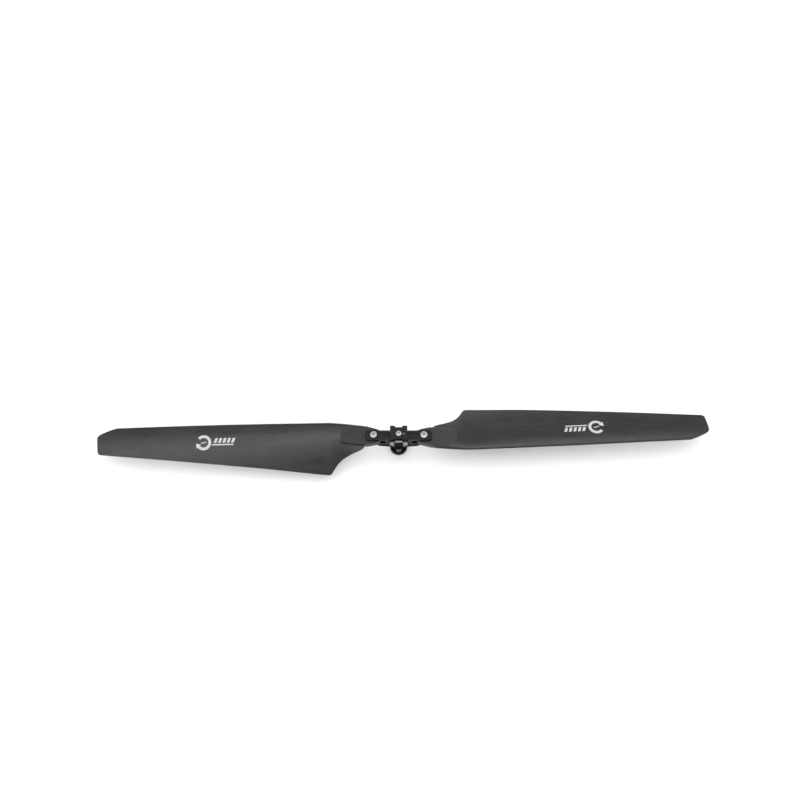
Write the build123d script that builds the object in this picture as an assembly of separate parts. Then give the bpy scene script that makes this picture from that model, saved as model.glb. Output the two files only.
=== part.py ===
from build123d import *
import os
import math

# Two-blade in-plane folding propeller on a quick-release hub, clockwise seen from above.
# Units mm. +Z up along the motor axis, origin at the centre of the motor seat face
# (underside of the flange). Blades lie along X; the +X blade leads with its -Y edge.
# Front is -Y, back is +Y.

# ------------------------------------------------------------------ driving dimensions
PIVOT_X = 31.1           # blade pivot bolt offset from the motor axis
REST_SWING = {"right": 3.22, "left": 1.27}  # degrees each blade trails the pivot line
RUN_GAP = 0.05           # running clearance per side

# construction
SIDES = (-1, 1)
PAST = 1.0               # how far a cut runs past a face
OVERLAP = 0.5            # how far joined blocks reach into each other
FAR = 60.0               # beyond every face of the hub

# flange and locking stud
FLANGE_R = 10.7
FLANGE_H = 6.0
SEAT_BORE_R = 4.0        # locating register in the motor seat face
SEAT_BORE_H = 1.5
BOLT_Y = 12.0 / 2        # two M3 holes in the flange, 12 mm apart along Y
BOLT_HOLE_R = 1.65
BOLT_SINK_R = 2.9
RELIEF_H = 1.2           # cuts over the countersinks, in the stud and the collar foot
STUD_R = 4.0
STUD_TOP = 23.9
STUD_GROOVE_R = 2.6
STUD_GROOVE_Z = (15.7, 20.7)
STUD_SPIGOT_R = 2.5

# yoke (lower body and lower cheeks)
COLLAR_R = 5.2
BODY_X = 10.0
BODY_Y = 6.2             # half width of the middle, set back behind the latch frames
BODY_Z0 = 14.4
CHEEK_Z0 = 23.5          # underside of the arms
CHEEK_Z1 = 26.7          # top of the lower cheek
SLOT_Z1 = 33.8           # underside of the upper plate
ARM_X = PIVOT_X + 10.3   # arm end
ARM_Y = 6.8              # half width of the arms
ARM_CORNER_R = 4.2
WEB_CLEAR_R = 16.0       # kept clear round the pivot, so the root folds 90 degrees both ways
GUSSET_X = 26.0          # ribs under the arms
GUSSET_Y = 6.6
GUSSET_WALL = 2.2
BOSS_T = 2.3             # thicker end of each lower arm, with a hexagon pocket for the nut
BOSS_X = 24.5

# upper plate
PLATE_Z1 = 37.2
RECESS_R = 5.9
RECESS_D = 1.25
FALL_X = (9.0, PIVOT_X - 7.2)  # |X| range of the groove and bevel on the back half
# y, height above the plate top
FALL_PROFILE = [(0.4, 1.0), (0.4, -0.8), (1.3, -0.8), (1.3, -0.15),
                (4.0, -0.5), (7.6, -2.3), (7.6, 1.0)]

# centre cap
CAP_X = 10.6
CAP_Y0 = -6.5
CAP_Y1 = 11.1
CAP_Z1 = 40.4
NOTCH_X = 4.7
NOTCH_Y = 9.0
NOTCH_CHAMFER = 0.6

# fasteners
M5_R = 2.5
M5_HOLE_R = M5_R + 0.02
M5_HEAD_R = 4.75
M5_HEAD_H = 2.75
M5_SOCKET_AF = 3.0
M5_SEAT_Z = PLATE_Z1 - RECESS_D
M5_END_Z = CHEEK_Z0 - 5.55
M4_R = 2.0
M4_HOLE_R = M4_R + 0.15
M4_HEAD_R = 3.8
M4_HEAD_H = 2.2
M4_SOCKET_AF = 2.5
M4_SEAT_Z = CAP_Z1 - 0.6
M4_LENGTH = 12.0
NUT_AF = 8.0
NUT_AF_GAP = 0.3         # pocket wider than the nut, across flats
NUT_SKIRT_R = 3.7
NUT_HEX_Z0 = CHEEK_Z0 - 3.2
NUT_RING_R = 3.1
NUT_RING_Z0 = CHEEK_Z0 - 4.3
NUT_Z0 = CHEEK_Z0 - 4.6

# pivot stack
SLEEVE_R = 3.5
INSERT_R = 5.0
WASHER_R = 6.2
WASHER_T = 0.5

# latches
LATCH_TRAVEL = 1.5
SLIDER_X = 8.0
SLIDER_T = 2.0
SLIDER_F_Z = 16.0        # front slider underside
SLIDER_B_Z = 18.4        # back slider underside
SLOT_END_Y = 5.6         # closed end of each slider slot, past the axis
FRAME_X = 5.2            # half width of the upright
FRAME_Y = 7.9            # inner face of the latch frame at rest
FRAME_T = 1.4
EAR_X = 11.1
EAR_Z = (25.6, 33.4)
SETBACK_X = EAR_X + 0.4
BAR_X = 4.4
BAR_DEPTH = 2.5
BAR_Z = (34.8, 36.4)
DOWEL_R = 1.0
DOWEL_X = 6.3
DOWEL_Z0 = SLIDER_F_Z - 1.0

# thumb pads
PAD_X = 5.5
PAD_T = 2.2
DISH_R = 18.0
DISH_DEPTH = 0.8
DISH_W = 8.6
GRIP_X = 3.9
GRIP_PITCH = 3.0
GRIP_H = 0.7
GRIP_FLOOR = 1.15        # groove floor, out from the frame's outer face

# latch springs
SPRING_R = 1.25
SPRING_WIRE_R = 0.2
SPRING_TURNS = 6.0
SPRING_X = 4.9
SPRING_Z = 28.4
SPRING_SEAT = 3.3        # |Y| of the spring pocket floor
POCKET_R = SPRING_R + 0.35
POCKET_LENGTH = 6.0

# blade
BLADE_Z = 28.9           # blade reference plane
ROOT_MID = 30.25
ROOT_T = 6.0
ROOT_Z0 = ROOT_MID - ROOT_T / 2
ROOT_Z1 = ROOT_MID + ROOT_T / 2
ROOT_CHAMFER = 0.7
EYE_R = 10.3             # round end of the blade root
CAMBER_AT = 0.42         # place of greatest camber, as a share of the chord
SECTION_STEPS = 11       # intervals along each surface of a section

# station radius, leading edge y, trailing edge y, leading edge z, trailing edge z,
# thickness, camber, trailing edge thickness
STATIONS = [
    (42.2, -14.05, 11.75, 1.35, 0.5, 5.2, 0.0, 3.6),
    (47.4, -15.95, 16.1, 1.50, -1.8, 6.1, 0.2, 2.8),
    (56.7, -17.4, 19.5, 1.75, -4.4, 6.7, 0.6, 2.0),
    (66.0, -18.6, 23.5, 1.90, -7.7, 6.8, 1.1, 1.4),
    (74.0, -19.4, 29.0, 1.95, -10.8, 6.2, 1.6, 1.1),
    (79.6, -20.0, 35.9, 1.95, -13.2, 5.7, 2.0, 0.9),
    (84.2, -20.35, 42.7, 1.90, -15.3, 5.4, 2.3, 0.8),
    (87.4, -20.5, 43.55, 1.88, -15.6, 5.3, 2.4, 0.8),
    (98.0, -20.6, 42.6, 1.80, -15.1, 5.0, 2.5, 0.8),
    (112.0, -20.7, 41.3, 1.70, -14.0, 4.7, 2.5, 0.8),
    (138.6, -20.8, 38.75, 1.55, -11.6, 4.4, 2.3, 0.8),
    (189.0, -20.95, 33.85, 1.25, -8.7, 3.9, 2.0, 0.8),
    (252.0, -20.8, 27.65, 0.70, -6.9, 3.3, 1.6, 0.8),
    (315.0, -20.25, 21.4, -0.2, -5.9, 2.8, 1.25, 0.8),
    (356.0, -19.75, 17.3, -1.0, -5.7, 2.4, 1.0, 0.8),
    (386.0, -19.4, 14.3, -1.7, -5.7, 2.1, 0.8, 0.8),
]
CORNER = (6, 7)          # stations either side of the blunt corner of the trailing edge

# x, y of the region the blade is trimmed to; it shapes only the tip
TIP_OUTLINE = [
    (30, -40), (348, -40), (348, -20.4), (353, -20.1), (357, -19.3), (361, -17.9),
    (365, -16.5), (374, -12.45), (377.5, -10.6), (379.6, -8.6), (380.5, -6.0),
    (380.4, -3.0), (379.15, 11.2), (378.5, 13.3), (377.2, 14.6), (375.4, 15.3),
    (374, 60), (30, 60),
]

# thick root beyond the eye: distance past the pivot, leading side y, trailing side y
ROOT_SIDES = [
    (8.5, -13.6, 11.9), (12.5, -14.6, 12.0), (17.0, -15.4, 11.4), (22.0, -15.9, 10.7),
    (26.0, -15.8, 10.0), (30.0, -15.1, 9.2), (33.5, -13.9, 8.5), (36.5, -12.2, 7.9),
    (38.8, -10.2, 7.4), (40.2, -8.2, 6.8), (40.9, -6.0, 5.8),
]
ROOT_END = PIVOT_X + ROOT_SIDES[-1][0]
# where the root outline meets the eye: x from the pivot, y
EYE_LEADING = (-2.8, -9.91)
EYE_TRAILING = (-1.6, 10.17)


# ------------------------------------------------------------------ helpers
def disc(radius, z0, z1, x=0.0, y=0.0):
    return Pos(x, y, (z0 + z1) / 2) * Cylinder(radius, z1 - z0)


def ring(outer_r, inner_r, z0, z1, x=0.0):
    return disc(outer_r, z0, z1, x) - disc(inner_r, z0 - PAST, z1 + PAST, x)


def slab(x0, x1, y0, y1, z0, z1):
    """Box between two opposite corners; each pair may run either way."""
    centre = Pos((x0 + x1) / 2, (y0 + y1) / 2, (z0 + z1) / 2)
    return centre * Box(abs(x1 - x0), abs(y1 - y0), abs(z1 - z0))


def polygon(points):
    return make_face(Polyline(*points, close=True))


def prism(points, z0, z1):
    return extrude(Pos(0, 0, z0) * polygon(points), amount=z1 - z0)


def profile_along_y(points, half_width):
    """X, Z profile extruded along Y and centred on Y = 0."""
    bar = extrude(Plane.XZ * polygon(points), amount=2 * half_width)
    return Pos(0, -bar.center().Y, 0) * bar


def hexagon(across_flats, z0, z1, x=0.0):
    face = RegularPolygon(across_flats / 2, 6, major_radius=False)
    return extrude(Pos(x, 0, z0) * face, amount=z1 - z0)


def arm_slab(z0, z1):
    """Rounded bar over the full length of both arms."""
    outline = RectangleRounded(2 * ARM_X, 2 * ARM_Y, ARM_CORNER_R)
    return extrude(Pos(0, 0, z0) * outline, amount=z1 - z0)


def set_back(shape, z0, z1):
    """Cut the front and back of the middle back behind the latch frames."""
    for s in SIDES:
        shape -= slab(-SETBACK_X, SETBACK_X, s * BODY_Y, s * FAR, z0 - PAST, z1 + PAST)
    return shape


def half_turn(shape):
    return Rot(0, 0, 180) * shape


def top_edges(shape):
    return shape.edges().group_by(Axis.Z)[-1]


def bottom_edges(shape):
    return shape.edges().group_by(Axis.Z)[0]


def dress(shape, operation, edges, size):
    """Apply fillet or chamfer."""
    # the kernel may refuse the edges or return a bad solid; the shape then stays plain
    try:
        dressed = operation(edges, size)
        if dressed.is_valid and abs(dressed.volume) > 0:
            return dressed
    except Exception:
        pass
    return shape


def save(name, *items):
    solids = [solid for item in items for solid in item.solids()]
    shape = solids[0] if len(solids) == 1 else Compound(children=solids)
    export_step(shape, "parts/" + name + ".step")


# ------------------------------------------------------------------ flange and stud
def adapter_flange():
    flange = disc(FLANGE_R, 0, FLANGE_H)
    flange = dress(flange, fillet, top_edges(flange), 0.9)
    flange = dress(flange, chamfer, bottom_edges(flange), 0.4)
    flange -= disc(SEAT_BORE_R, -PAST, SEAT_BORE_H)
    flange -= disc(STUD_SPIGOT_R, -PAST, FLANGE_H + PAST)
    sink_depth = BOLT_SINK_R - BOLT_HOLE_R
    for s in SIDES:
        y = s * BOLT_Y
        flange -= disc(BOLT_HOLE_R, -PAST, FLANGE_H + PAST, 0, y)
        sink = Cone(BOLT_HOLE_R, BOLT_SINK_R, sink_depth)
        flange -= Pos(0, y, FLANGE_H - sink_depth / 2) * sink
    return flange


def adapter_stud():
    stud = disc(STUD_SPIGOT_R, SEAT_BORE_H + 0.3, FLANGE_H) + disc(STUD_R, FLANGE_H, STUD_TOP)
    stud = dress(stud, chamfer, top_edges(stud), 0.9)
    stud -= ring(STUD_R + PAST, STUD_GROOVE_R, *STUD_GROOVE_Z)
    for s in SIDES:      # relief beside each countersunk bolt hole
        stud -= disc(BOLT_SINK_R + 0.15, FLANGE_H, FLANGE_H + RELIEF_H, 0, s * BOLT_Y)
    return stud


# ------------------------------------------------------------------ yoke
def gusset():
    """Rib under the +X arm, hollow between two side walls."""
    rib = profile_along_y([(BODY_X - OVERLAP, CHEEK_Z0 + OVERLAP),
                           (BODY_X - OVERLAP, BODY_Z0 + 1.6),
                           (GUSSET_X - 1.6, CHEEK_Z0 - 4.9),
                           (GUSSET_X, CHEEK_Z0 + OVERLAP)], GUSSET_Y)
    x0, x1 = BODY_X + 0.6, GUSSET_X + 2
    z0, z1 = BODY_Z0 - 2, CHEEK_Z0
    hollow = profile_along_y([(x0, z1), (x0, z0), (x1, z0), (x1, z1)],
                             GUSSET_Y - GUSSET_WALL)
    return rib - hollow


def hub_yoke():
    yoke = arm_slab(CHEEK_Z0, CHEEK_Z1)
    web = slab(-ARM_X, ARM_X, -ARM_Y, ARM_Y, CHEEK_Z1 - OVERLAP, SLOT_Z1)
    z0, z1 = CHEEK_Z1 - PAST, SLOT_Z1 + PAST
    for s in SIDES:
        web -= disc(WEB_CLEAR_R, z0, z1, s * PIVOT_X)
        web -= slab(s * PIVOT_X, s * FAR, -FAR, FAR, z0, z1)
    yoke += web
    yoke += slab(-BODY_X, BODY_X, -ARM_Y, ARM_Y, BODY_Z0, SLOT_Z1)
    yoke = set_back(yoke, BODY_Z0, SLOT_Z1)
    rib = gusset()
    yoke += rib + half_turn(rib)
    # collar round the stud, with countersink room in its foot
    yoke += disc(COLLAR_R, FLANGE_H, BODY_Z0 + OVERLAP)
    yoke -= disc(STUD_R + RUN_GAP, FLANGE_H - PAST, STUD_TOP + 0.4)
    foot_z0 = FLANGE_H - 0.1
    for s in SIDES:
        yoke -= disc(BOLT_SINK_R + 0.3, foot_z0, foot_z0 + RELIEF_H, 0, s * BOLT_Y)
    # centre screw and dowel bores
    yoke -= disc(M4_R, STUD_TOP, SLOT_Z1 + PAST)
    yoke -= disc(DOWEL_R, DOWEL_Z0, SLOT_Z1 + PAST, DOWEL_X)
    # slider slots, one open to the front and one open to the back
    slot_x = SLIDER_X + RUN_GAP
    for s, z in ((-1, SLIDER_F_Z), (1, SLIDER_B_Z)):
        yoke -= slab(-slot_x, slot_x, -s * SLOT_END_Y, s * FAR,
                     z - RUN_GAP, z + SLIDER_T + RUN_GAP)
    # spring pockets
    pocket = Rot(90, 0, 0) * Cylinder(POCKET_R, POCKET_LENGTH)
    for s in SIDES:
        for k in SIDES:
            y = s * (SPRING_SEAT + POCKET_LENGTH / 2)
            yoke -= Pos(k * SPRING_X, y, SPRING_Z) * pocket
    # thicker arm ends, hexagon nut pockets and pivot bores
    boss_z0 = CHEEK_Z0 - BOSS_T
    boss = arm_slab(boss_z0, CHEEK_Z0 + OVERLAP)
    boss -= slab(-BOSS_X, BOSS_X, -FAR, FAR, 0, FAR)
    yoke += boss
    for s in SIDES:
        yoke -= hexagon(NUT_AF + NUT_AF_GAP, boss_z0 - PAST, CHEEK_Z0, s * PIVOT_X)
        yoke -= disc(M5_HOLE_R, CHEEK_Z0 - PAST, SLOT_Z1 + PAST, s * PIVOT_X)
    return yoke


# ------------------------------------------------------------------ upper plate and cap
def hub_upper_plate():
    plate = arm_slab(SLOT_Z1, PLATE_Z1)
    plate = dress(plate, fillet, top_edges(plate), 0.5)
    z0, z1 = SLOT_Z1 - PAST, PLATE_Z1 + PAST
    # back half of each arm: narrow groove, then a flat falling away to a wide bevel
    profile = Plane.YZ * polygon([(y, PLATE_Z1 + dz) for y, dz in FALL_PROFILE])
    fall = extrude(profile, amount=FALL_X[1] - FALL_X[0])
    for s in SIDES:
        plate -= disc(RECESS_R, M5_SEAT_Z, z1, s * PIVOT_X)
        plate -= disc(M5_HOLE_R, z0, z1, s * PIVOT_X)
        plate -= Pos(min(s * x for x in FALL_X), 0, 0) * fall
    plate = set_back(plate, SLOT_Z1, PLATE_Z1)
    plate -= disc(M4_HOLE_R, z0, z1)
    plate -= disc(DOWEL_R, z0, z1, DOWEL_X)
    return plate


def centre_cap():
    """Rounded block with a notch in its back edge."""
    right = [(CAP_X, CAP_Y0), (CAP_X, CAP_Y1), (NOTCH_X, CAP_Y1),
             (NOTCH_X, NOTCH_Y + NOTCH_CHAMFER), (NOTCH_X - NOTCH_CHAMFER, NOTCH_Y)]
    left = [(-x, y) for x, y in reversed(right)]
    # start at the front left corner
    cap = prism(left[-1:] + right + left[:-1], PLATE_Z1, CAP_Z1)
    corners = [e for e in cap.edges().filter_by(Axis.Z)
               if abs(abs(e.center().X) - CAP_X) < 0.01]
    cap = dress(cap, fillet, corners, 0.8)
    cap = dress(cap, chamfer, top_edges(cap), 0.45)
    cap -= disc(M4_HEAD_R + 0.5, M4_SEAT_Z, CAP_Z1 + PAST)
    cap -= disc(M4_HOLE_R, PLATE_Z1 - PAST, CAP_Z1 + PAST)
    cap -= disc(DOWEL_R, PLATE_Z1 - PAST, CAP_Z1 + PAST, DOWEL_X)
    return cap


# ------------------------------------------------------------------ fasteners
def button_screw(radius, head_r, head_h, seat_z, length, socket_af):
    head = disc(head_r, seat_z, seat_z + head_h)
    head = dress(head, fillet, top_edges(head), head_h * 0.72)
    socket_z = seat_z + head_h * 0.42
    head -= hexagon(socket_af, socket_z, socket_z + head_h)
    shank = disc(radius, seat_z - length, seat_z)
    shank = dress(shank, chamfer, bottom_edges(shank), 0.4)
    return head + shank


def latch_dowel():
    dowel = disc(DOWEL_R, DOWEL_Z0, CAP_Z1 - 0.15, DOWEL_X)
    return dress(dowel, chamfer, top_edges(dowel), 0.25)


def pivot_nut(x):
    """Hexagon with a round skirt below, hollowed for the nut ring."""
    nut = hexagon(NUT_AF, NUT_HEX_Z0, CHEEK_Z0, x)
    nut += disc(NUT_SKIRT_R, NUT_Z0, NUT_HEX_Z0, x)
    nut -= disc(M5_R, NUT_Z0 - PAST, CHEEK_Z0 + PAST, x)
    nut -= disc(NUT_RING_R, NUT_RING_Z0, NUT_HEX_Z0, x)
    return nut


# ------------------------------------------------------------------ latches
def latch(z0, dowel_x):
    """Latch with its frame on the -Y side; z0 is the slider underside."""
    z1 = z0 + SLIDER_T
    outer_y = -FRAME_Y - FRAME_T
    slider = slab(-SLIDER_X, SLIDER_X, -BODY_Y + 0.2, SLOT_END_Y - LATCH_TRAVEL - 0.2, z0, z1)
    slider += slab(-FRAME_X, FRAME_X, outer_y, -BODY_Y + OVERLAP, z0, z1)
    corners = [e for e in slider.edges().filter_by(Axis.Z) if e.center().Y > 0]
    slider = dress(slider, fillet, corners, 2.0)
    slider -= disc(STUD_R + 0.1, z0 - PAST, z1 + PAST, 0, -LATCH_TRAVEL + 0.05)
    # slot round the dowel
    slot_r = DOWEL_R + RUN_GAP
    for y in (0, -LATCH_TRAVEL):
        slider -= disc(slot_r, z0 - PAST, z1 + PAST, dowel_x, y)
    slider -= slab(dowel_x - slot_r, dowel_x + slot_r, -LATCH_TRAVEL, 0, z0 - PAST, z1 + PAST)
    # upright frame with two ears and a folded top bar
    upright = slab(-FRAME_X, FRAME_X, outer_y, -FRAME_Y, z0, EAR_Z[0] + OVERLAP)
    ears = slab(-EAR_X, EAR_X, outer_y, -FRAME_Y, *EAR_Z)
    ears = dress(ears, fillet, ears.edges().filter_by(Axis.Y), 1.3)
    bar = slab(-BAR_X, BAR_X, -FRAME_Y - BAR_DEPTH, -FRAME_Y, *BAR_Z)
    bar += slab(-BAR_X, BAR_X, outer_y, -FRAME_Y, EAR_Z[1] - 1, BAR_Z[0] + OVERLAP)
    outer_top = [e for e in bar.edges().filter_by(Axis.X)
                 if e.center().Z > BAR_Z[1] - 0.2 and e.center().Y < -FRAME_Y - 1]
    bar = dress(bar, fillet, outer_top, 0.5)
    return slider + upright + ears + bar


def thumb_pad(slider_z):
    """Pad on the outer face of the -Y latch frame."""
    inner_y = -FRAME_Y - FRAME_T
    outer_y = inner_y - PAD_T
    z0, z1 = slider_z + 1.5, BAR_Z[0] - 0.2
    mid_z = (z0 + z1) / 2
    pad = slab(-PAD_X, PAD_X, outer_y, inner_y, z0, z1)
    pad = dress(pad, fillet, pad.edges().filter_by(Axis.Y), 1.0)
    rim = [e for e in pad.edges() if abs(e.center().Y - outer_y) < 0.01]
    pad = dress(pad, chamfer, rim, 0.5)
    dish = Rot(0, 90, 0) * Cylinder(DISH_R, DISH_W)
    pad -= Pos(0, outer_y - DISH_R + DISH_DEPTH, mid_z) * dish
    # three grip grooves
    for k in (-1, 0, 1):
        z = mid_z + k * GRIP_PITCH
        pad -= slab(-GRIP_X, GRIP_X, inner_y - 3, inner_y - GRIP_FLOOR,
                    z - GRIP_H / 2, z + GRIP_H / 2)
    return pad


def front_springs():
    """Two coils along Y between the pocket floors and the front latch frame."""
    height = FRAME_Y - SPRING_SEAT - 2 * SPRING_WIRE_R
    path = Helix(pitch=height / SPRING_TURNS, height=height, radius=SPRING_R)
    wire = Plane(origin=path @ 0, z_dir=path % 0) * Circle(SPRING_WIRE_R)
    coil = sweep(wire, path=path)
    y = -SPRING_SEAT - SPRING_WIRE_R
    return [Pos(k * SPRING_X, y, SPRING_Z) * Rot(90, 0, 0) * coil for k in SIDES]


# ------------------------------------------------------------------ blades
def foil_section(radius, lead_y, trail_y, lead_z, trail_z, thickness, camber, edge_t):
    """Cambered four-digit style section with a blunt trailing edge, as a wire."""
    chord = math.hypot(trail_y - lead_y, trail_z - lead_z)
    # unit vector along the chord; (-along_z, along_y) points to the upper surface
    along_y, along_z = (trail_y - lead_y) / chord, (trail_z - lead_z) / chord

    def place(along, up):
        return Vector(radius,
                      lead_y + along * along_y - up * along_z,
                      BLADE_Z + lead_z + along * along_z + up * along_y)

    upper, lower = [], []
    p = CAMBER_AT
    for i in range(SECTION_STEPS + 1):
        s = 0.5 * (1 - math.cos(math.pi * i / SECTION_STEPS))
        half = 5 * thickness * (0.2969 * math.sqrt(s) - 0.1260 * s - 0.3516 * s * s
                                + 0.2843 * s ** 3 - 0.1036 * s ** 4)
        half += 0.5 * edge_t * s
        if s < p:
            mean = camber * (2 * p * s - s * s) / p ** 2
        else:
            mean = camber * ((1 - 2 * p) + 2 * p * s - s * s) / (1 - p) ** 2
        upper.append(place(s * chord, mean + half))
        lower.append(place(s * chord, mean - half))
    loop = upper[::-1] + lower[1:]
    return Face(Wire([Spline(*loop), Line(loop[-1], loop[0])])).outer_wire()


def root_section(distance, lead_y, trail_y):
    """Slice of the thick root: flat faces, upright sides with a small chamfer."""
    x, c = PIVOT_X + distance, ROOT_CHAMFER
    points = [(lead_y, ROOT_Z1 - c), (lead_y + c, ROOT_Z1),
              (trail_y - c, ROOT_Z1), (trail_y, ROOT_Z1 - c),
              (trail_y, ROOT_Z0 + c), (trail_y - c, ROOT_Z0),
              (lead_y + c, ROOT_Z0), (lead_y, ROOT_Z0 + c)]
    return Wire(Polyline(*[Vector(x, y, z) for y, z in points], close=True))


def is_root_junction(edge):
    """Long edge where the trailing side of the thick root runs into the blade."""
    centre = edge.center()
    return (PIVOT_X + 14 < centre.X < ROOT_END - 1
            and 5.0 < centre.Y < 12.6
            and 24.0 < centre.Z < ROOT_Z1 - 0.9
            and edge.length > 2.5
            and abs((edge @ 1).X - (edge @ 0).X) > 2)


def unswung_blade():
    """Blade along +X, before it is swung about its pivot."""
    # lofted aerofoil, longer than the finished blade, then cut to the planform
    wires = [foil_section(*station) for station in STATIONS]
    before, after = CORNER
    foil = (Solid.make_loft(wires[:before + 1])
            + Solid.make_loft(wires[before:after + 1], ruled=True)
            + Solid.make_loft(wires[after:]))
    foil &= prism(TIP_OUTLINE, 0, 60)

    # flat root: round eye on the pivot, widening into the blade
    distance, lead_y, trail_y = ROOT_SIDES[0]
    x0 = PIVOT_X + distance
    x1 = x0 + 0.6
    root = prism([(PIVOT_X + EYE_LEADING[0], EYE_LEADING[1]), (x0, lead_y),
                  (x1, lead_y - 0.1), (x1, trail_y), (x0, trail_y),
                  (PIVOT_X + EYE_TRAILING[0], EYE_TRAILING[1])], ROOT_Z0, ROOT_Z1)
    root += disc(EYE_R, ROOT_Z0, ROOT_Z1, PIVOT_X)

    thick_root = Solid.make_loft([root_section(*row) for row in ROOT_SIDES], ruled=True)
    body = foil + thick_root
    body = dress(body, fillet, [e for e in body.edges() if is_root_junction(e)], 1.6)
    blade = body + root
    blade -= disc(INSERT_R, ROOT_Z0 - PAST, ROOT_Z1 + PAST, PIVOT_X)
    return max(blade.solids(), key=lambda solid: solid.volume)


def swung(shape, degrees):
    return Pos(PIVOT_X, 0, 0) * Rot(0, 0, degrees) * Pos(-PIVOT_X, 0, 0) * shape


# ------------------------------------------------------------------ build and save
os.makedirs("parts", exist_ok=True)
pivots = [s * PIVOT_X for s in SIDES]

save("adapter_flange", adapter_flange())
save("adapter_stud", adapter_stud())
save("hub_yoke", hub_yoke())
save("hub_upper_plate", hub_upper_plate())
save("centre_cap", centre_cap())
save("centre_screw",
     button_screw(M4_R, M4_HEAD_R, M4_HEAD_H, M4_SEAT_Z, M4_LENGTH, M4_SOCKET_AF))
save("latch_dowel", latch_dowel())

bolt = button_screw(M5_R, M5_HEAD_R, M5_HEAD_H, M5_SEAT_Z, M5_SEAT_Z - M5_END_Z, M5_SOCKET_AF)
save("pivot_bolts", *[Pos(x, 0, 0) * bolt for x in pivots])
save("pivot_sleeves", *[ring(SLEEVE_R, M5_HOLE_R, CHEEK_Z1, SLOT_Z1, x) for x in pivots])
save("thrust_washers", *[ring(WASHER_R, SLEEVE_R + RUN_GAP, z, z + WASHER_T, x)
                         for x in pivots for z in (CHEEK_Z1, SLOT_Z1 - WASHER_T)])
save("pivot_nuts", *[pivot_nut(x) for x in pivots])
save("nut_rings", *[ring(NUT_RING_R, M5_R, NUT_RING_Z0, NUT_HEX_Z0, x) for x in pivots])

# the back latch is turned half round, so its dowel slot is built on the other side
save("latch_front", latch(SLIDER_F_Z, DOWEL_X))
save("latch_back", half_turn(latch(SLIDER_B_Z, -DOWEL_X)))
save("thumb_pad_front", thumb_pad(SLIDER_F_Z))
save("thumb_pad_back", half_turn(thumb_pad(SLIDER_B_Z)))
springs = front_springs()
save("latch_springs_front", *springs)
save("latch_springs_back", *[half_turn(coil) for coil in springs])

insert = ring(INSERT_R, SLEEVE_R + RUN_GAP, ROOT_Z0, ROOT_Z1, PIVOT_X)
for name, shape in (("blade", unswung_blade()), ("blade_insert", insert)):
    save(name + "_right", swung(shape, REST_SWING["right"]))
    save(name + "_left", half_turn(swung(shape, REST_SWING["left"])))
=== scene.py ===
import bpy
import bmesh
import math
from mathutils import Matrix, Vector
from mathutils.bvhtree import BVHTree
from mathutils.geometry import delaunay_2d_cdt


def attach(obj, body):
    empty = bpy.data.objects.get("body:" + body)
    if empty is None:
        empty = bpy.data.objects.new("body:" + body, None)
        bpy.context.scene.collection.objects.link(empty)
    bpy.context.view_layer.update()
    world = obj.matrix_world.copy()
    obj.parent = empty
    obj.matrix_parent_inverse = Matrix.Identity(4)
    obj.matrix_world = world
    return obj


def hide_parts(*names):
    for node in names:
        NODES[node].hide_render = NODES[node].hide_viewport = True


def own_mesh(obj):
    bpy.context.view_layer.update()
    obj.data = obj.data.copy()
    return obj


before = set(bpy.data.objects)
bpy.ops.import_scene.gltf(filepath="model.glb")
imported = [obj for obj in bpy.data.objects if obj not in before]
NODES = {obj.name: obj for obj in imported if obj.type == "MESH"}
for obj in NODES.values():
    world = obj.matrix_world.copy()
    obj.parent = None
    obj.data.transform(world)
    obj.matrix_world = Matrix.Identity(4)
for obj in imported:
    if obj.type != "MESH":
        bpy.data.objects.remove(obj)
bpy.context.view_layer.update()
MM = 0.001

# ------------------------------------------------------------------ camera, at the photograph's angle
E = math.radians(62.0)
W = math.radians(3.8495)
S = 381.0 / 302.33 / 1000.0           # metres per picture unit
D = 1165.08
toward = Vector((0, -math.cos(E), math.sin(E)))
upv = Vector((0, math.sin(E), math.cos(E)))
ex = Vector((1, 0, 0))
back = toward * math.cos(W) + ex * math.sin(W)
right = ex * math.cos(W) - toward * math.sin(W)
loc = (toward * D - Vector((-1.34, -41.55, 0))) * S + Vector((0, 0, 0.0299))
cam_data = bpy.data.cameras.new("camera")
cam = bpy.data.objects.new("camera", cam_data)
bpy.context.scene.collection.objects.link(cam)
m = Matrix((right, upv, back)).transposed().to_4x4()
m.translation = loc
cam.matrix_world = m
f_px = D * math.cos(W) ** 2
cam_data.sensor_width = 36.0
cam_data.lens = f_px / 800.0 * 36.0
cam_data.clip_end = 20
# the picture plane stays parallel to the span while the lens looks past it; the lens is centred again wherever else the camera goes
shift = f_px * math.tan(W) / 800.0
rule = cam_data.driver_add("shift_x").driver
rule.type = "SCRIPTED"
for axis in "XYZ":
    var = rule.variables.new()
    var.name = "p" + axis.lower()
    var.type = "TRANSFORMS"
    var.targets[0].id = cam
    var.targets[0].transform_type = "LOC_" + axis
    var.targets[0].transform_space = "WORLD_SPACE"
rule.expression = "%.6f if abs(px - %.4f) + abs(py - %.4f) + abs(pz - %.4f) < 0.02 else 0" % (shift, loc.x, loc.y, loc.z)
bpy.context.scene.camera = cam
bpy.context.scene.view_settings.view_transform = "Standard"
bpy.context.scene.view_settings.look = "None"


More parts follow.
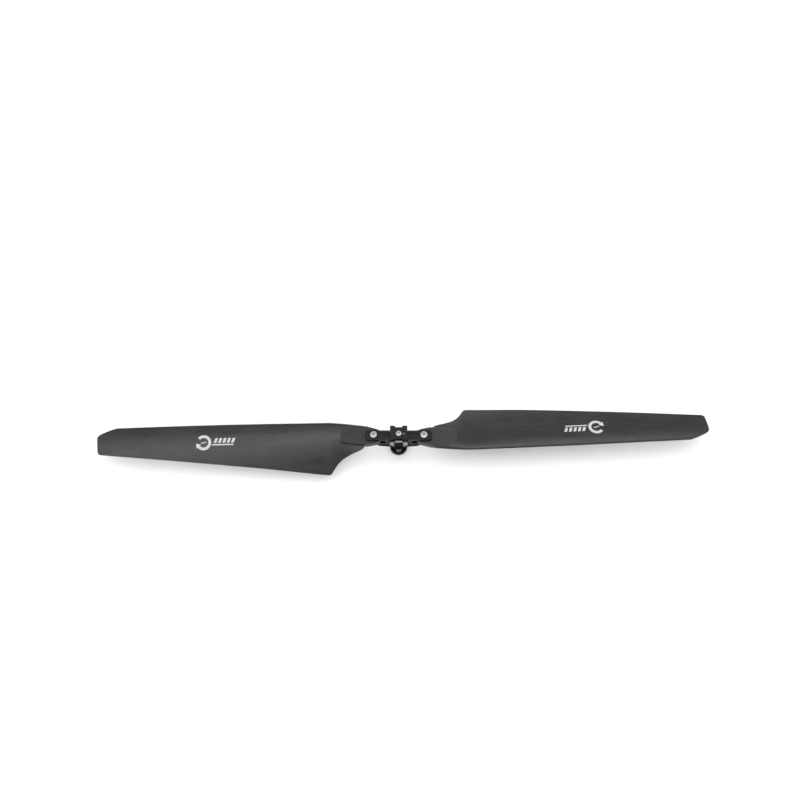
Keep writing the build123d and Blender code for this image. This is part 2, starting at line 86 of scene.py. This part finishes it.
# ------------------------------------------------------------------ node helpers
class Tree:
    """Small helper to write node graphs as expressions."""

    def __init__(self, name):
        self.mat = bpy.data.materials.new(name)
        self.mat.use_nodes = True
        self.nt = self.mat.node_tree
        self.nt.nodes.clear()
        self.out = self.nt.nodes.new("ShaderNodeOutputMaterial")
        self.bsdf = self.nt.nodes.new("ShaderNodeBsdfPrincipled")
        self.nt.links.new(self.bsdf.outputs[0], self.out.inputs["Surface"])
        self.tc = self.nt.nodes.new("ShaderNodeTexCoord")
        self.obj = self.tc.outputs["Object"]
        self.geo = self.nt.nodes.new("ShaderNodeNewGeometry")
        self._sep = None

    def node(self, kind, **props):
        n = self.nt.nodes.new(kind)
        for k, v in props.items():
            setattr(n, k, v)
        return n

    def link(self, a, b):
        if isinstance(a, (int, float)):
            b.default_value = a
        elif isinstance(a, (tuple, list)):
            b.default_value = a
        else:
            self.nt.links.new(a, b)

    def math(self, op, a, b=None, c=None, clamp=False):
        n = self.node("ShaderNodeMath", operation=op, use_clamp=clamp)
        self.link(a, n.inputs[0])
        if b is not None:
            self.link(b, n.inputs[1])
        if c is not None:
            self.link(c, n.inputs[2])
        return n.outputs[0]

    def add(self, a, b): return self.math("ADD", a, b)
    def sub(self, a, b): return self.math("SUBTRACT", a, b)
    def mul(self, a, b): return self.math("MULTIPLY", a, b)
    def absv(self, a): return self.math("ABSOLUTE", a)

    def step(self, v, lo, hi):
        """smooth 0..1 as v goes lo..hi"""
        n = self.node("ShaderNodeMapRange", interpolation_type="SMOOTHSTEP")
        self.link(v, n.inputs["Value"])
        n.inputs["From Min"].default_value = lo
        n.inputs["From Max"].default_value = hi
        return n.outputs["Result"]

    def ramp(self, v, lo, hi, a, b):
        n = self.node("ShaderNodeMapRange")
        self.link(v, n.inputs["Value"])
        n.inputs["From Min"].default_value = lo
        n.inputs["From Max"].default_value = hi
        n.inputs["To Min"].default_value = a
        n.inputs["To Max"].default_value = b
        return n.outputs["Result"]

    def xyz(self, vec=None):
        if vec is None:
            if self._sep is None:
                n = self.node("ShaderNodeSeparateXYZ")
                self.link(self.obj, n.inputs[0])
                self._sep = n.outputs
            return self._sep
        n = self.node("ShaderNodeSeparateXYZ")
        self.link(vec, n.inputs[0])
        return n.outputs

    def scaled(self, s, rot=(0, 0, 0), vec=None):
        n = self.node("ShaderNodeMapping")
        self.link(vec if vec is not None else self.obj, n.inputs["Vector"])
        n.inputs["Scale"].default_value = s
        n.inputs["Rotation"].default_value = rot
        return n.outputs[0]

    def noise(self, vec, scale=1.0, detail=3.0, rough=0.5, distort=0.0):
        n = self.node("ShaderNodeTexNoise")
        self.link(vec, n.inputs["Vector"])
        n.inputs["Scale"].default_value = scale
        n.inputs["Detail"].default_value = detail
        n.inputs["Roughness"].default_value = rough
        n.inputs["Distortion"].default_value = distort
        return n.outputs[0]

    def voronoi(self, vec, scale, feature="F1"):
        n = self.node("ShaderNodeTexVoronoi", feature=feature)
        self.link(vec, n.inputs["Vector"])
        n.inputs["Scale"].default_value = scale
        return n.outputs["Distance"]

    def mix(self, fac, a, b):
        n = self.node("ShaderNodeMix", data_type="RGBA")
        self.link(fac, n.inputs[0])
        self.link(a if not isinstance(a, tuple) else (*a, 1.0)[:4], n.inputs[6])
        self.link(b if not isinstance(b, tuple) else (*b, 1.0)[:4], n.inputs[7])
        return n.outputs[2]

    def mixf(self, fac, a, b):
        n = self.node("ShaderNodeMix", data_type="FLOAT")
        self.link(fac, n.inputs[0])
        self.link(a, n.inputs[2])
        self.link(b, n.inputs[3])
        return n.outputs[0]

    def tint(self, col, f):
        """colour times a factor socket"""
        n = self.node("ShaderNodeVectorMath", operation="SCALE")
        self.link(col if not isinstance(col, tuple) else col[:3], n.inputs[0])
        self.link(f, n.inputs["Scale"])
        return n.outputs[0]

    def edges(self, radius, lo=0.02, hi=0.25):
        """mask that is 1 on sharp convex or concave edges, from rounded against true normals"""
        b = self.node("ShaderNodeBevel")
        b.samples = 4
        b.inputs["Radius"].default_value = radius
        d = self.node("ShaderNodeVectorMath", operation="DOT_PRODUCT")
        self.link(b.outputs[0], d.inputs[0])
        self.link(self.geo.outputs["Normal"], d.inputs[1])
        return self.step(self.sub(1.0, d.outputs["Value"]), lo, hi)

    def rounded(self, radius):
        b = self.node("ShaderNodeBevel")
        b.samples = 4
        b.inputs["Radius"].default_value = radius
        return b.outputs[0]

    def bump(self, height, dist, strength=1.0, normal=None):
        n = self.node("ShaderNodeBump")
        n.inputs["Strength"].default_value = strength
        n.inputs["Distance"].default_value = dist
        self.link(height, n.inputs["Height"])
        if normal is not None:
            self.link(normal, n.inputs["Normal"])
        return n.outputs[0]

    def set(self, **kw):
        names = {"color": "Base Color", "rough": "Roughness", "metal": "Metallic", "normal": "Normal", "spec": "Specular IOR Level",
                 "coat": "Coat Weight", "coat_rough": "Coat Roughness", "aniso": "Anisotropic", "sss": "Subsurface Weight", "ior": "IOR",
                 "tangent": "Tangent", "transmission": "Transmission Weight"}
        for k, v in kw.items():
            s = self.bsdf.inputs[names[k]]
            if isinstance(v, tuple):
                s.default_value = (*v, 1.0)[:4] if len(v) == 3 and k == "color" else v
            else:
                self.link(v, s)

    def radial(self, cx=0.0, cy=0.0, mirror=False):
        """distance in metres from a vertical axis; with mirror the axis is taken on both sides of x=0"""
        x, y, _ = self.xyz()
        if mirror:
            x = self.absv(x)
        dx = self.sub(x, cx)
        dy = self.sub(y, cy)
        return self.math("SQRT", self.add(self.mul(dx, dx), self.mul(dy, dy)))


# ------------------------------------------------------------------ materials
def blade_material(name, side):
    t = Tree(name)
    x, y, z = t.xyz()
    # flow of the filled plastic along the span, with soft mottling, short fibres and fine grain
    flow = t.noise(t.scaled((10, 120, 120)), 1.0, 6.0, 0.62, 0.9)
    mott = t.noise(t.scaled((55, 75, 75)), 1.0, 5.0, 0.6, 0.4)
    grain = t.noise(t.scaled((2100, 2600, 2600)), 1.0, 2.0, 0.6)
    fib1 = t.noise(t.scaled((420, 3400, 3400), rot=(0, 0, 0.16)), 1.0, 2.0, 0.5)
    fib2 = t.noise(t.scaled((420, 3400, 3400), rot=(0, 0, -0.24)), 1.0, 2.0, 0.5)
    fibre = t.math("MAXIMUM", fib1, fib2)
    f = t.ramp(flow, 0.25, 0.75, 0.72, 1.28)
    f = t.mul(f, t.ramp(mott, 0.3, 0.7, 0.86, 1.16))
    f = t.mul(f, t.ramp(grain, 0.3, 0.7, 0.75, 1.3))
    f = t.mul(f, t.ramp(fibre, 0.45, 0.75, 0.8, 1.6))
    base = t.tint((0.0120, 0.0123, 0.0148), f)
    # edges polished by handling, broken up by noise
    e = t.edges(0.0007, 0.03, 0.3)
    e = t.mul(e, t.ramp(t.noise(t.scaled((90, 220, 220)), 1.0, 5.0, 0.7), 0.42, 0.66, 0.05, 0.8))
    base = t.mix(e, base, (0.050, 0.051, 0.055))
    # long fine scuffs
    sc1 = t.noise(t.scaled((22, 900, 900), rot=(0, 0, 0.35)), 1.0, 3.0, 0.6)
    sc2 = t.noise(t.scaled((18, 1100, 1100), rot=(0, 0, -0.22)), 1.0, 3.0, 0.6)
    scm = t.add(t.step(sc1, 0.70, 0.82), t.step(sc2, 0.71, 0.82))
    scm = t.math("MINIMUM", scm, 1.0)
    base = t.mix(t.mul(scm, 0.4), base, (0.035, 0.036, 0.039))
    # thin haze of dust in patches
    dust = t.step(t.noise(t.scaled((14, 24, 24)), 1.0, 6.0, 0.65), 0.50, 0.78)
    base = t.mix(t.mul(dust, 0.10), base, (0.06, 0.06, 0.06))
    rough = t.ramp(flow, 0.25, 0.75, 0.28, 0.42)
    rough = t.add(rough, t.ramp(mott, 0.3, 0.7, -0.06, 0.06))
    rough = t.add(rough, t.ramp(grain, 0.3, 0.7, -0.04, 0.04))
    rough = t.add(rough, t.mul(scm, 0.03))
    rough = t.add(rough, t.mul(dust, 0.06))
    rough = t.sub(rough, t.mul(e, 0.08))
    h = t.add(t.mul(grain, 0.8), t.add(t.mul(fibre, 0.7), t.mul(scm, -0.15)))
    n = t.bump(h, 0.00008, 0.6)
    waves = t.noise(t.scaled((14, 70, 70)), 1.0, 3.0, 0.55, 0.5)
    n = t.bump(waves, 0.0004, 0.22, n)
    t.set(color=base, rough=rough, normal=n, spec=0.60)
    return t.mat


def hub_material(name, painted_rib_shade=False, painted_light_tone=1.0, gloss=0.22):
    t = Tree(name)
    x, y, z = t.xyz()
    blast = t.noise(t.scaled((5200, 5200, 5200)), 1.0, 2.0, 0.6)
    cloud = t.noise(t.scaled((160, 160, 160)), 1.0, 5.0, 0.6)
    smear = t.noise(t.scaled((60, 420, 420), rot=(0, 0, 0.3)), 1.0, 4.0, 0.6, 0.8)
    f = t.mul(t.ramp(cloud, 0.3, 0.7, 0.82, 1.2), t.ramp(blast, 0.3, 0.7, 0.8, 1.2))
    # this factor scales the shared black finish per part as painted light and shade: below 1 darkens the yoke's shaded
    # cheek faces, above 1 lightens the cap
    base = t.tint((0.0105 * painted_light_tone, 0.0108 * painted_light_tone, 0.0118 * painted_light_tone), f)
    e = t.edges(0.00035, 0.04, 0.35)
    chips = t.step(t.noise(t.scaled((700, 700, 700)), 1.0, 4.0, 0.65), 0.54, 0.66)
    # a lighter line along every edge is a painted highlight; the chipped edges below are real wear
    line = t.mul(e, 0.30)
    wear = t.mul(e, chips)
    base = t.mix(line, base, (0.05, 0.05, 0.053))
    base = t.mix(t.mul(wear, 0.6), base, (0.22, 0.22, 0.225))
    rough = t.add(t.ramp(cloud, 0.3, 0.7, 0.34, 0.46), t.ramp(smear, 0.4, 0.7, -0.04, 0.05))
    spec = gloss
    # painted shade: below the arms, 10.7 to 26.4 mm either side of the axis, the faces are darkened to near-black with
    # weak specular
    if painted_rib_shade:
        rib_shade_mask = t.mul(t.step(z, 0.02352, 0.02344), t.step(t.absv(x), 0.0104, 0.0107))
        rib_shade_mask = t.mul(rib_shade_mask, t.step(t.absv(x), 0.0268, 0.0264))
        base = t.mix(rib_shade_mask, base, t.tint((0.0030, 0.0030, 0.0033), f))
        spec = t.mixf(rib_shade_mask, gloss, 0.06)
    n = t.bump(t.add(blast, t.mul(smear, 0.3)), 0.00003, 0.5, t.rounded(0.00022))
    t.set(color=base, rough=rough, normal=n, spec=spec, metal=t.mul(wear, 0.5))
    return t.mat


def flange_material(name):
    t = Tree(name)
    x, y, z = t.xyz()
    r = t.radial()
    turned = t.noise(t.math("MULTIPLY", r, 9000.0), 1.0, 3.0, 0.7)
    cloud = t.noise(t.scaled((230, 230, 230)), 1.0, 4.0, 0.6)
    base = t.tint((0.0035, 0.0035, 0.0040), t.ramp(cloud, 0.3, 0.7, 0.7, 1.4))
    # bare metal countersinks, given a pale diffuse grey that paints in their highlight
    dy = t.sub(t.absv(y), 0.006)
    rc = t.math("SQRT", t.add(t.mul(x, x), t.mul(dy, dy)))
    bare_sink_glint = t.mul(t.step(rc, 0.00302, 0.00290), t.step(z, 0.0002, 0.0004))
    rings = t.noise(t.mul(rc, 16000.0), 1.0, 2.0, 0.6)
    base = t.mix(bare_sink_glint, base, t.tint((0.72, 0.72, 0.72), t.ramp(rings, 0.3, 0.7, 0.8, 1.2)))
    # bare bevel round the seat face
    # lighter band round the edge of the seat face, a painted highlight
    rim_highlight = t.mul(t.step(z, 0.00048, 0.00036), t.step(r, 0.0101, 0.0102))
    base = t.mix(t.mul(rim_highlight, 0.85), base, (0.10, 0.10, 0.10))
    e = t.edges(0.0003, 0.05, 0.4)
    base = t.mix(t.mul(e, 0.18), base, (0.12, 0.12, 0.12))
    metal = t.math("MINIMUM", t.add(t.mul(bare_sink_glint, 0.3), t.mul(rim_highlight, 0.3)), 1.0)
    rough = t.mixf(t.math("MAXIMUM", bare_sink_glint, rim_highlight), t.ramp(cloud, 0.3, 0.7, 0.10, 0.24), 0.34)
    scr = t.step(t.noise(t.scaled((90, 1500, 200), rot=(0.2, 0, 0.8)), 1.0, 3.0, 0.6), 0.66, 0.76)
    rough = t.add(rough, t.mul(scr, 0.12))
    n = t.bump(t.add(turned, t.mul(scr, -0.5)), 0.000012, 0.6, t.rounded(0.00025))
    t.set(color=base, rough=rough, metal=metal, normal=n, spec=0.10)
    t.bsdf.inputs["Coat Weight"].default_value = 0.0
    t.bsdf.inputs["Coat Roughness"].default_value = 0.08
    return t.mat


def metal_material(name, col, rough, mode="turned", centre=(0, 0), mirror=False, socket=0.0, socket_z=0.0, grime=0.25, socket_shade_col=(0.04, 0.04, 0.042)):
    """bare metal; mode is turned (rings round an axis), brushed (lines along X), drawn (fine lines along Z) or blasted"""
    t = Tree(name)
    x, y, z = t.xyz()
    cloud = t.noise(t.scaled((210, 210, 210)), 1.0, 5.0, 0.62)
    fine = t.noise(t.scaled((4200, 4200, 4200)), 1.0, 2.0, 0.6)
    r = t.radial(centre[0], centre[1], mirror)
    if mode == "turned":
        lines = t.noise(t.mul(r, 14000.0), 1.0, 3.0, 0.7)
    elif mode == "brushed":
        lines = t.noise(t.scaled((180, 6500, 6500)), 1.0, 3.0, 0.65)
    elif mode == "drawn":
        lines = t.noise(t.scaled((7000, 7000, 160)), 1.0, 3.0, 0.6)
    else:
        lines = fine
    f = t.mul(t.ramp(cloud, 0.3, 0.7, 0.9, 1.08), t.ramp(lines, 0.3, 0.7, 0.86, 1.1))
    base = t.tint(col, f)
    e = t.edges(0.0003, 0.04, 0.4)
    base = t.mix(t.mul(e, 0.35), base, tuple(min(1.0, c * 1.35) for c in col))
    dirt = t.step(t.noise(t.scaled((520, 520, 520)), 1.0, 5.0, 0.6), 0.55, 0.75)
    base = t.mix(t.mul(dirt, grime), base, tuple(c * 0.45 for c in col))
    ro = t.add(t.ramp(lines, 0.3, 0.7, rough - 0.05, rough + 0.07), t.mul(dirt, 0.12))
    if socket:
        # painted shade: the socket in the top of the head is darkened and roughened
        s = t.step(r, socket + 0.00010, socket - 0.00005)
        if socket_z:
            s = t.mul(s, t.step(z, socket_z, socket_z + 0.0002))
        base = t.mix(t.mul(s, 0.38), base, socket_shade_col)
        ro = t.add(ro, t.mul(s, 0.12))
    n = t.bump(t.add(lines, t.mul(fine, 0.4)), 0.000014, 0.55, t.rounded(0.0002))
    t.set(color=base, rough=ro, metal=1.0, normal=n)
    return t.mat


def pad_material(name):
    t = Tree(name)
    grit = t.noise(t.scaled((3600, 3600, 3600)), 1.0, 3.0, 0.6)
    cloud = t.noise(t.scaled((300, 300, 300)), 1.0, 4.0, 0.6)
    base = t.tint((0.0035, 0.0035, 0.0038), t.mul(t.ramp(grit, 0.3, 0.7, 0.75, 1.3), t.ramp(cloud, 0.3, 0.7, 0.8, 1.25)))
    e = t.edges(0.0004, 0.04, 0.35)
    rub = t.step(t.noise(t.scaled((900, 900, 900)), 1.0, 4.0, 0.6), 0.48, 0.68)
    base = t.mix(t.mul(t.mul(e, rub), 0.55), base, (0.06, 0.06, 0.06))
    n = t.bump(grit, 0.00004, 0.5, t.rounded(0.0003))
    t.set(color=base, rough=t.ramp(cloud, 0.3, 0.7, 0.32, 0.5), normal=n, spec=0.02)
    return t.mat


def oxide_material(name):
    t = Tree(name)
    cloud = t.noise(t.scaled((420, 420, 420)), 1.0, 5.0, 0.65)
    fine = t.noise(t.scaled((5200, 5200, 5200)), 1.0, 2.0, 0.6)
    base = t.tint((0.018, 0.018, 0.021), t.mul(t.ramp(cloud, 0.3, 0.7, 0.6, 1.5), t.ramp(fine, 0.3, 0.7, 0.85, 1.15)))
    e = t.mul(t.edges(0.0003, 0.04, 0.35), t.ramp(cloud, 0.45, 0.65, 0.2, 1.0))
    base = t.mix(t.mul(e, 0.6), base, (0.28, 0.27, 0.26))
    n = t.bump(fine, 0.00003, 0.5, t.rounded(0.00025))
    t.set(color=base, rough=t.ramp(cloud, 0.3, 0.7, 0.32, 0.5), metal=t.ramp(e, 0.0, 1.0, 0.45, 0.9), normal=n)
    return t.mat


def nylon_material(name):
    t = Tree(name)
    cloud = t.noise(t.scaled((500, 500, 500)), 1.0, 4.0, 0.6)
    fine = t.noise(t.scaled((4000, 4000, 4000)), 1.0, 2.0, 0.6)
    base = t.mix(t.ramp(cloud, 0.3, 0.7, 0.0, 1.0), (0.62, 0.61, 0.56), (0.74, 0.73, 0.69))
    n = t.bump(fine, 0.00003, 0.4, t.rounded(0.0002))
    t.set(color=base, rough=t.ramp(cloud, 0.3, 0.7, 0.38, 0.52), normal=n, sss=0.15)
    t.bsdf.inputs["Subsurface Radius"].default_value = (0.001, 0.001, 0.0009)
    return t.mat


def ink_material(name):
    t = Tree(name)
    fine = t.noise(t.scaled((2600, 2600, 2600)), 1.0, 3.0, 0.6)
    patch = t.noise(t.scaled((700, 700, 700)), 1.0, 5.0, 0.7)
    base = t.mix(t.ramp(patch, 0.35, 0.7, 0.0, 1.0), (0.52, 0.52, 0.53), (0.40, 0.40, 0.42))
    thin = t.step(patch, 0.66, 0.74)
    base = t.mix(t.mul(thin, 0.55), base, (0.16, 0.16, 0.17))
    n = t.bump(fine, 0.00003, 0.4)
    t.set(color=base, rough=t.ramp(fine, 0.3, 0.7, 0.42, 0.6), normal=n, spec=0.4)
    return t.mat


M_BLADE_R = blade_material("blade_composite_right", "R")
M_BLADE_L = blade_material("blade_composite_left", "L")
# yoke painted darker and cap painted lighter than the plate, as painted shade and painted light
M_YOKE = hub_material("hub_black_yoke", painted_rib_shade=True, painted_light_tone=0.8, gloss=0.11)
M_PLATE = hub_material("hub_black_plate")
M_CAP = hub_material("hub_black_cap", painted_light_tone=1.12)
M_FLANGE = flange_material("flange_gloss_black")
M_STUD = metal_material("stud_steel", (0.46, 0.46, 0.47), 0.26, "turned")
M_BOLT = metal_material("screw_steel_pivot", (0.64, 0.64, 0.645), 0.27, "turned", (0.0311, 0), True, 0.00165, 0.0345, 0.12)
M_SCREW = metal_material("screw_steel_centre", (0.64, 0.64, 0.645), 0.27, "turned", (0, 0), False, 0.00138, 0.0395, 0.12)
M_DOWEL = metal_material("screw_steel_dowel", (0.50, 0.50, 0.51), 0.34, "turned", (0.0063, 0))
M_SLEEVE = metal_material("sleeve_steel", (0.55, 0.55, 0.56), 0.22, "turned", (0.0311, 0), True)
M_BRONZE = metal_material("washer_bronze", (0.60, 0.42, 0.20), 0.34, "turned", (0.0311, 0), True, grime=0.5)
M_LATCH = metal_material("latch_steel", (0.30, 0.30, 0.305), 0.34, "brushed", grime=0.35)
M_PAD = pad_material("thumb_black")
M_SPRING = metal_material("spring_steel", (0.52, 0.52, 0.54), 0.26, "drawn")
M_NUT = oxide_material("nut_black_steel")
M_NYLON = nylon_material("nut_nylon")
M_ALU = metal_material("insert_aluminium", (0.72, 0.72, 0.73), 0.28, "turned", (0.0311, 0), True)
M_INK = ink_material("print_white")

USE = {
    "adapter_flange": M_FLANGE, "adapter_stud": M_STUD, "hub_yoke": M_YOKE, "hub_upper_plate": M_PLATE, "centre_cap": M_CAP,
    "centre_screw": M_SCREW, "latch_dowel": M_DOWEL, "pivot_bolts": M_BOLT, "pivot_sleeves": M_SLEEVE, "thrust_washers": M_BRONZE,
    "pivot_nuts": M_NUT, "nut_rings": M_NYLON, "latch_front": M_LATCH, "latch_back": M_LATCH, "thumb_pad_front": M_PAD,
    "thumb_pad_back": M_PAD, "latch_springs_front": M_SPRING, "latch_springs_back": M_SPRING, "blade_right": M_BLADE_R,
    "blade_left": M_BLADE_L, "blade_insert_right": M_ALU, "blade_insert_left": M_ALU,
}
for n, o in NODES.items():
    o.data.materials.clear()
    o.data.materials.append(USE[n])


# ------------------------------------------------------------------ mesh helpers
def new_object(name, verts, faces, mat, smooth=True, angle=35.0):
    me = bpy.data.meshes.new(name)
    me.from_pydata([tuple(v) for v in verts], [], faces)
    me.validate()
    bm = bmesh.new()
    bm.from_mesh(me)
    bmesh.ops.recalc_face_normals(bm, faces=bm.faces)
    bm.to_mesh(me)
    bm.free()
    me.update()
    o = bpy.data.objects.new(name, me)
    bpy.context.scene.collection.objects.link(o)
    me.materials.append(mat)
    if smooth:
        me.shade_smooth()
        me.set_sharp_from_angle(angle=math.radians(angle))
    return o


# ------------------------------------------------------------------ coil springs in place of the CAD spring nodes
def coil(cx, cz, y0, y1, r, wire, turns, sides=10, per_turn=28):
    """compression spring along Y with two closed end turns, as one capped tube"""
    pts = []
    n = int(per_turn * turns)
    span = (y1 - y0)
    sgn = 1 if span > 0 else -1
    length = abs(span) - 2 * wire
    for i in range(n + 1):
        s = i / n * turns
        # pitch is small over the first and last turn
        if s < 1:
            u = s * 0.055
        elif s > turns - 1:
            u = 1 - (turns - s) * 0.055
        else:
            u = 0.055 + (s - 1) / (turns - 2) * 0.89
        a = 2 * math.pi * s
        pts.append(Vector((cx + r * math.cos(a), y0 + sgn * (wire + u * length), cz + r * math.sin(a))))
    verts, faces = [], []
    for i, p in enumerate(pts):
        t_ = (pts[min(i + 1, n)] - pts[max(i - 1, 0)]).normalized()
        radial = Vector((p.x - cx, 0, p.z - cz)).normalized()
        side = t_.cross(radial).normalized()
        radial = side.cross(t_).normalized()
        for k in range(sides):
            b = 2 * math.pi * k / sides
            verts.append(p + radial * (wire * math.cos(b)) + side * (wire * math.sin(b)))
    for i in range(n):
        for k in range(sides):
            k2 = (k + 1) % sides
            faces.append((i * sides + k, i * sides + k2, (i + 1) * sides + k2, (i + 1) * sides + k))
    faces.append(tuple(range(sides - 1, -1, -1)))
    faces.append(tuple(n * sides + k for k in range(sides)))
    return verts, faces


def spring_object(name, sgn, node):
    verts, faces = [], []
    for k in (-1, 1):
        v, f = coil(k * 0.0049, 0.0284, sgn * 0.0033, sgn * 0.0079, 0.00125, 0.0002, 7.0)
        off = len(verts)
        verts += v
        faces += [tuple(i + off for i in q) for q in f]
    o = new_object(name, verts, faces, M_SPRING, True, 60)
    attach(o, "hub")
    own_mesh(o)
    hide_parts(node)
    return o


spring_object("spring_coils_front", -1, "latch_springs_front")
spring_object("spring_coils_back", 1, "latch_springs_back")


# ------------------------------------------------------------------ printed marks on the blades
def arc(cx, cy, r, a0, a1, n=30):
    return [(cx + r * math.cos(math.radians(a0 + (a1 - a0) * i / n)), cy + r * math.sin(math.radians(a0 + (a1 - a0) * i / n))) for i in range(n + 1)]


def mark_shapes():
    """generic print in blade coordinates (mm): turning arrow in a ring, then slanted bars with a thin line under them"""
    shapes = []
    cx, cy = 244.0, 3.2
    # open ring that ends in an arrow head
    shapes.append(arc(cx, cy, 9.6, 40, 320) + list(reversed(arc(cx, cy, 6.1, 40, 320))))
    a = math.radians(40)
    tx, ty = math.sin(a), -math.cos(a)
    px_, py_ = cx + 7.8 * math.cos(a), cy + 7.8 * math.sin(a)
    nx_, ny_ = math.cos(a), math.sin(a)
    shapes.append([(px_ - nx_ * 3.6, py_ - ny_ * 3.6), (px_ + nx_ * 3.6, py_ + ny_ * 3.6), (px_ + tx * 5.4, py_ + ty * 5.4)])
    # small two-blade pictogram inside the ring
    shapes.append([(cx - 4.6, cy - 0.2), (cx - 1.0, cy - 1.2), (cx + 1.0, cy - 0.2), (cx + 4.6, cy + 0.2), (cx + 1.0, cy + 1.2), (cx - 1.0, cy + 0.2)])
    # slanted bars
    for i in range(5):
        u = 204.0 + i * 5.5
        shapes.append([(u, -2.2), (u + 3.3, -2.2), (u + 5.4, 3.8), (u + 2.1, 3.8)])
    shapes.append([(206.0, 5.3), (233.2, 5.3), (233.6, 6.9), (206.4, 6.9)])
    return shapes


def project_marks(name, node, swing, turn, body):
    src = NODES[node]
    dg = bpy.context.evaluated_depsgraph_get()
    tree = BVHTree.FromObject(src, dg)
    ca, sa = math.cos(math.radians(swing)), math.sin(math.radians(swing))
    P = 31.1
    verts, faces = [], []

    def to_world(u, v):
        dx = u - P
        x, y = P + dx * ca - v * sa, dx * sa + v * ca
        if turn:
            x, y = -x, -y
        return x * MM, y * MM

    for poly in mark_shapes():
        # boundary points every 0.8 mm and a grid inside
        ring = []
        for i, p in enumerate(poly):
            q = poly[(i + 1) % len(poly)]
            n = max(1, int(math.hypot(q[0] - p[0], q[1] - p[1]) / 0.8))
            for k in range(n):
                ring.append(Vector((p[0] + (q[0] - p[0]) * k / n, p[1] + (q[1] - p[1]) * k / n)))
        nb = len(ring)
        xs = [p.x for p in ring]
        ys = [p.y for p in ring]
        pts = list(ring)
        gx = min(xs) + 0.4
        while gx < max(xs):
            gy = min(ys) + 0.4
            while gy < max(ys):
                pts.append(Vector((gx, gy)))
                gy += 0.8
            gx += 0.8
        out = delaunay_2d_cdt(pts, [], [list(range(nb))], 1, 1e-5)
        vs, fs = out[0], [list(f) for f in out[2]]
        top, bot = [], []
        ok = True
        for v in vs:
            x, y = to_world(v.x, v.y)
            hit, nrm, _, _ = tree.ray_cast(Vector((x, y, 0.2)), Vector((0, 0, -1)))
            if hit is None:
                ok = False
                break
            if nrm.z < 0:
                nrm = -nrm
            top.append(hit + nrm * 0.00005)
            bot.append(hit - nrm * 0.00008)
        if not ok:
            continue
        off = len(verts)
        nv = len(vs)
        verts += top + bot
        count = {}
        for f in fs:
            faces.append(tuple(off + i for i in f))
            faces.append(tuple(off + nv + i for i in reversed(f)))
            for i in range(len(f)):
                a, b = f[i], f[(i + 1) % len(f)]
                count[(a, b)] = count.get((a, b), 0) + 1
        for (a, b) in count:
            if (b, a) not in count:
                faces.append((off + b, off + a, off + nv + a, off + nv + b))
    o = new_object(name, verts, faces, M_INK, True, 30)
    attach(o, body)
    return o


project_marks("print_mark_right", "blade_right", 3.22, False, "blade_right")
project_marks("print_mark_left", "blade_left", 1.27, True, "blade_left")


# ------------------------------------------------------------------ floor and light
def floor_material():
    t = Tree("floor_white")
    n = t.noise(t.scaled((30, 30, 30)), 1.0, 4.0, 0.6)
    t.set(color=t.mix(t.ramp(n, 0.3, 0.7, 0.0, 1.0), (0.90, 0.90, 0.90), (0.92, 0.92, 0.92)), rough=0.75, spec=0.1)
    return t.mat


me = bpy.data.meshes.new("floor")
me.from_pydata([(-6, -6, -0.0002), (6, -6, -0.0002), (6, 6, -0.0002), (-6, 6, -0.0002)], [], [(0, 1, 2, 3)])
floor = bpy.data.objects.new("floor", me)
bpy.context.scene.collection.objects.link(floor)
me.materials.append(floor_material())

world = bpy.data.worlds.new("world")
bpy.context.scene.world = world
world.use_nodes = True
wn = world.node_tree
wn.nodes.clear()
wo = wn.nodes.new("ShaderNodeOutputWorld")
bg = wn.nodes.new("ShaderNodeBackground")
wn.links.new(bg.outputs[0], wo.inputs[0])
tcw = wn.nodes.new("ShaderNodeTexCoord")
sep = wn.nodes.new("ShaderNodeSeparateXYZ")
wn.links.new(tcw.outputs["Generated"], sep.inputs[0])
cr = wn.nodes.new("ShaderNodeValToRGB")
wn.links.new(sep.outputs["Z"], cr.inputs[0])
els = cr.color_ramp.elements
els[0].position = 0.0
els[0].color = (0.95, 0.95, 0.96, 1)
els[1].position = 1.0
els[1].color = (0.50, 0.50, 0.51, 1)
e2 = els.new(0.18)
e2.color = (0.85, 0.85, 0.87, 1)
e3 = els.new(0.42)
e3.color = (0.45, 0.45, 0.47, 1)
# an even white room lights the floor and the object; reflections see its shaded ceiling
lp = wn.nodes.new("ShaderNodeLightPath")
mx = wn.nodes.new("ShaderNodeMix")
mx.data_type = "RGBA"
wn.links.new(lp.outputs["Is Glossy Ray"], mx.inputs[0])
mx.inputs[6].default_value = (1.50, 1.50, 1.50, 1)
wn.links.new(cr.outputs[0], mx.inputs[7])
wn.links.new(mx.outputs[2], bg.inputs[0])
bg.inputs[1].default_value = 1.0


def area(name, loc_, target, size, power, spread=180):
    l = bpy.data.lights.new(name, "AREA")
    l.shape = "RECTANGLE"
    l.size, l.size_y = size
    l.energy = power
    l.spread = math.radians(spread)
    o = bpy.data.objects.new(name, l)
    bpy.context.scene.collection.objects.link(o)
    o.location = loc_
    o.rotation_euler = (Vector(target) - Vector(loc_)).to_track_quat("-Z", "Y").to_euler()
    return o


soft = area("softbox_top", (-0.05, 0.13, 1.45), (0, 0, 0), (2.0, 0.55), 7.5)
soft.visible_diffuse = False
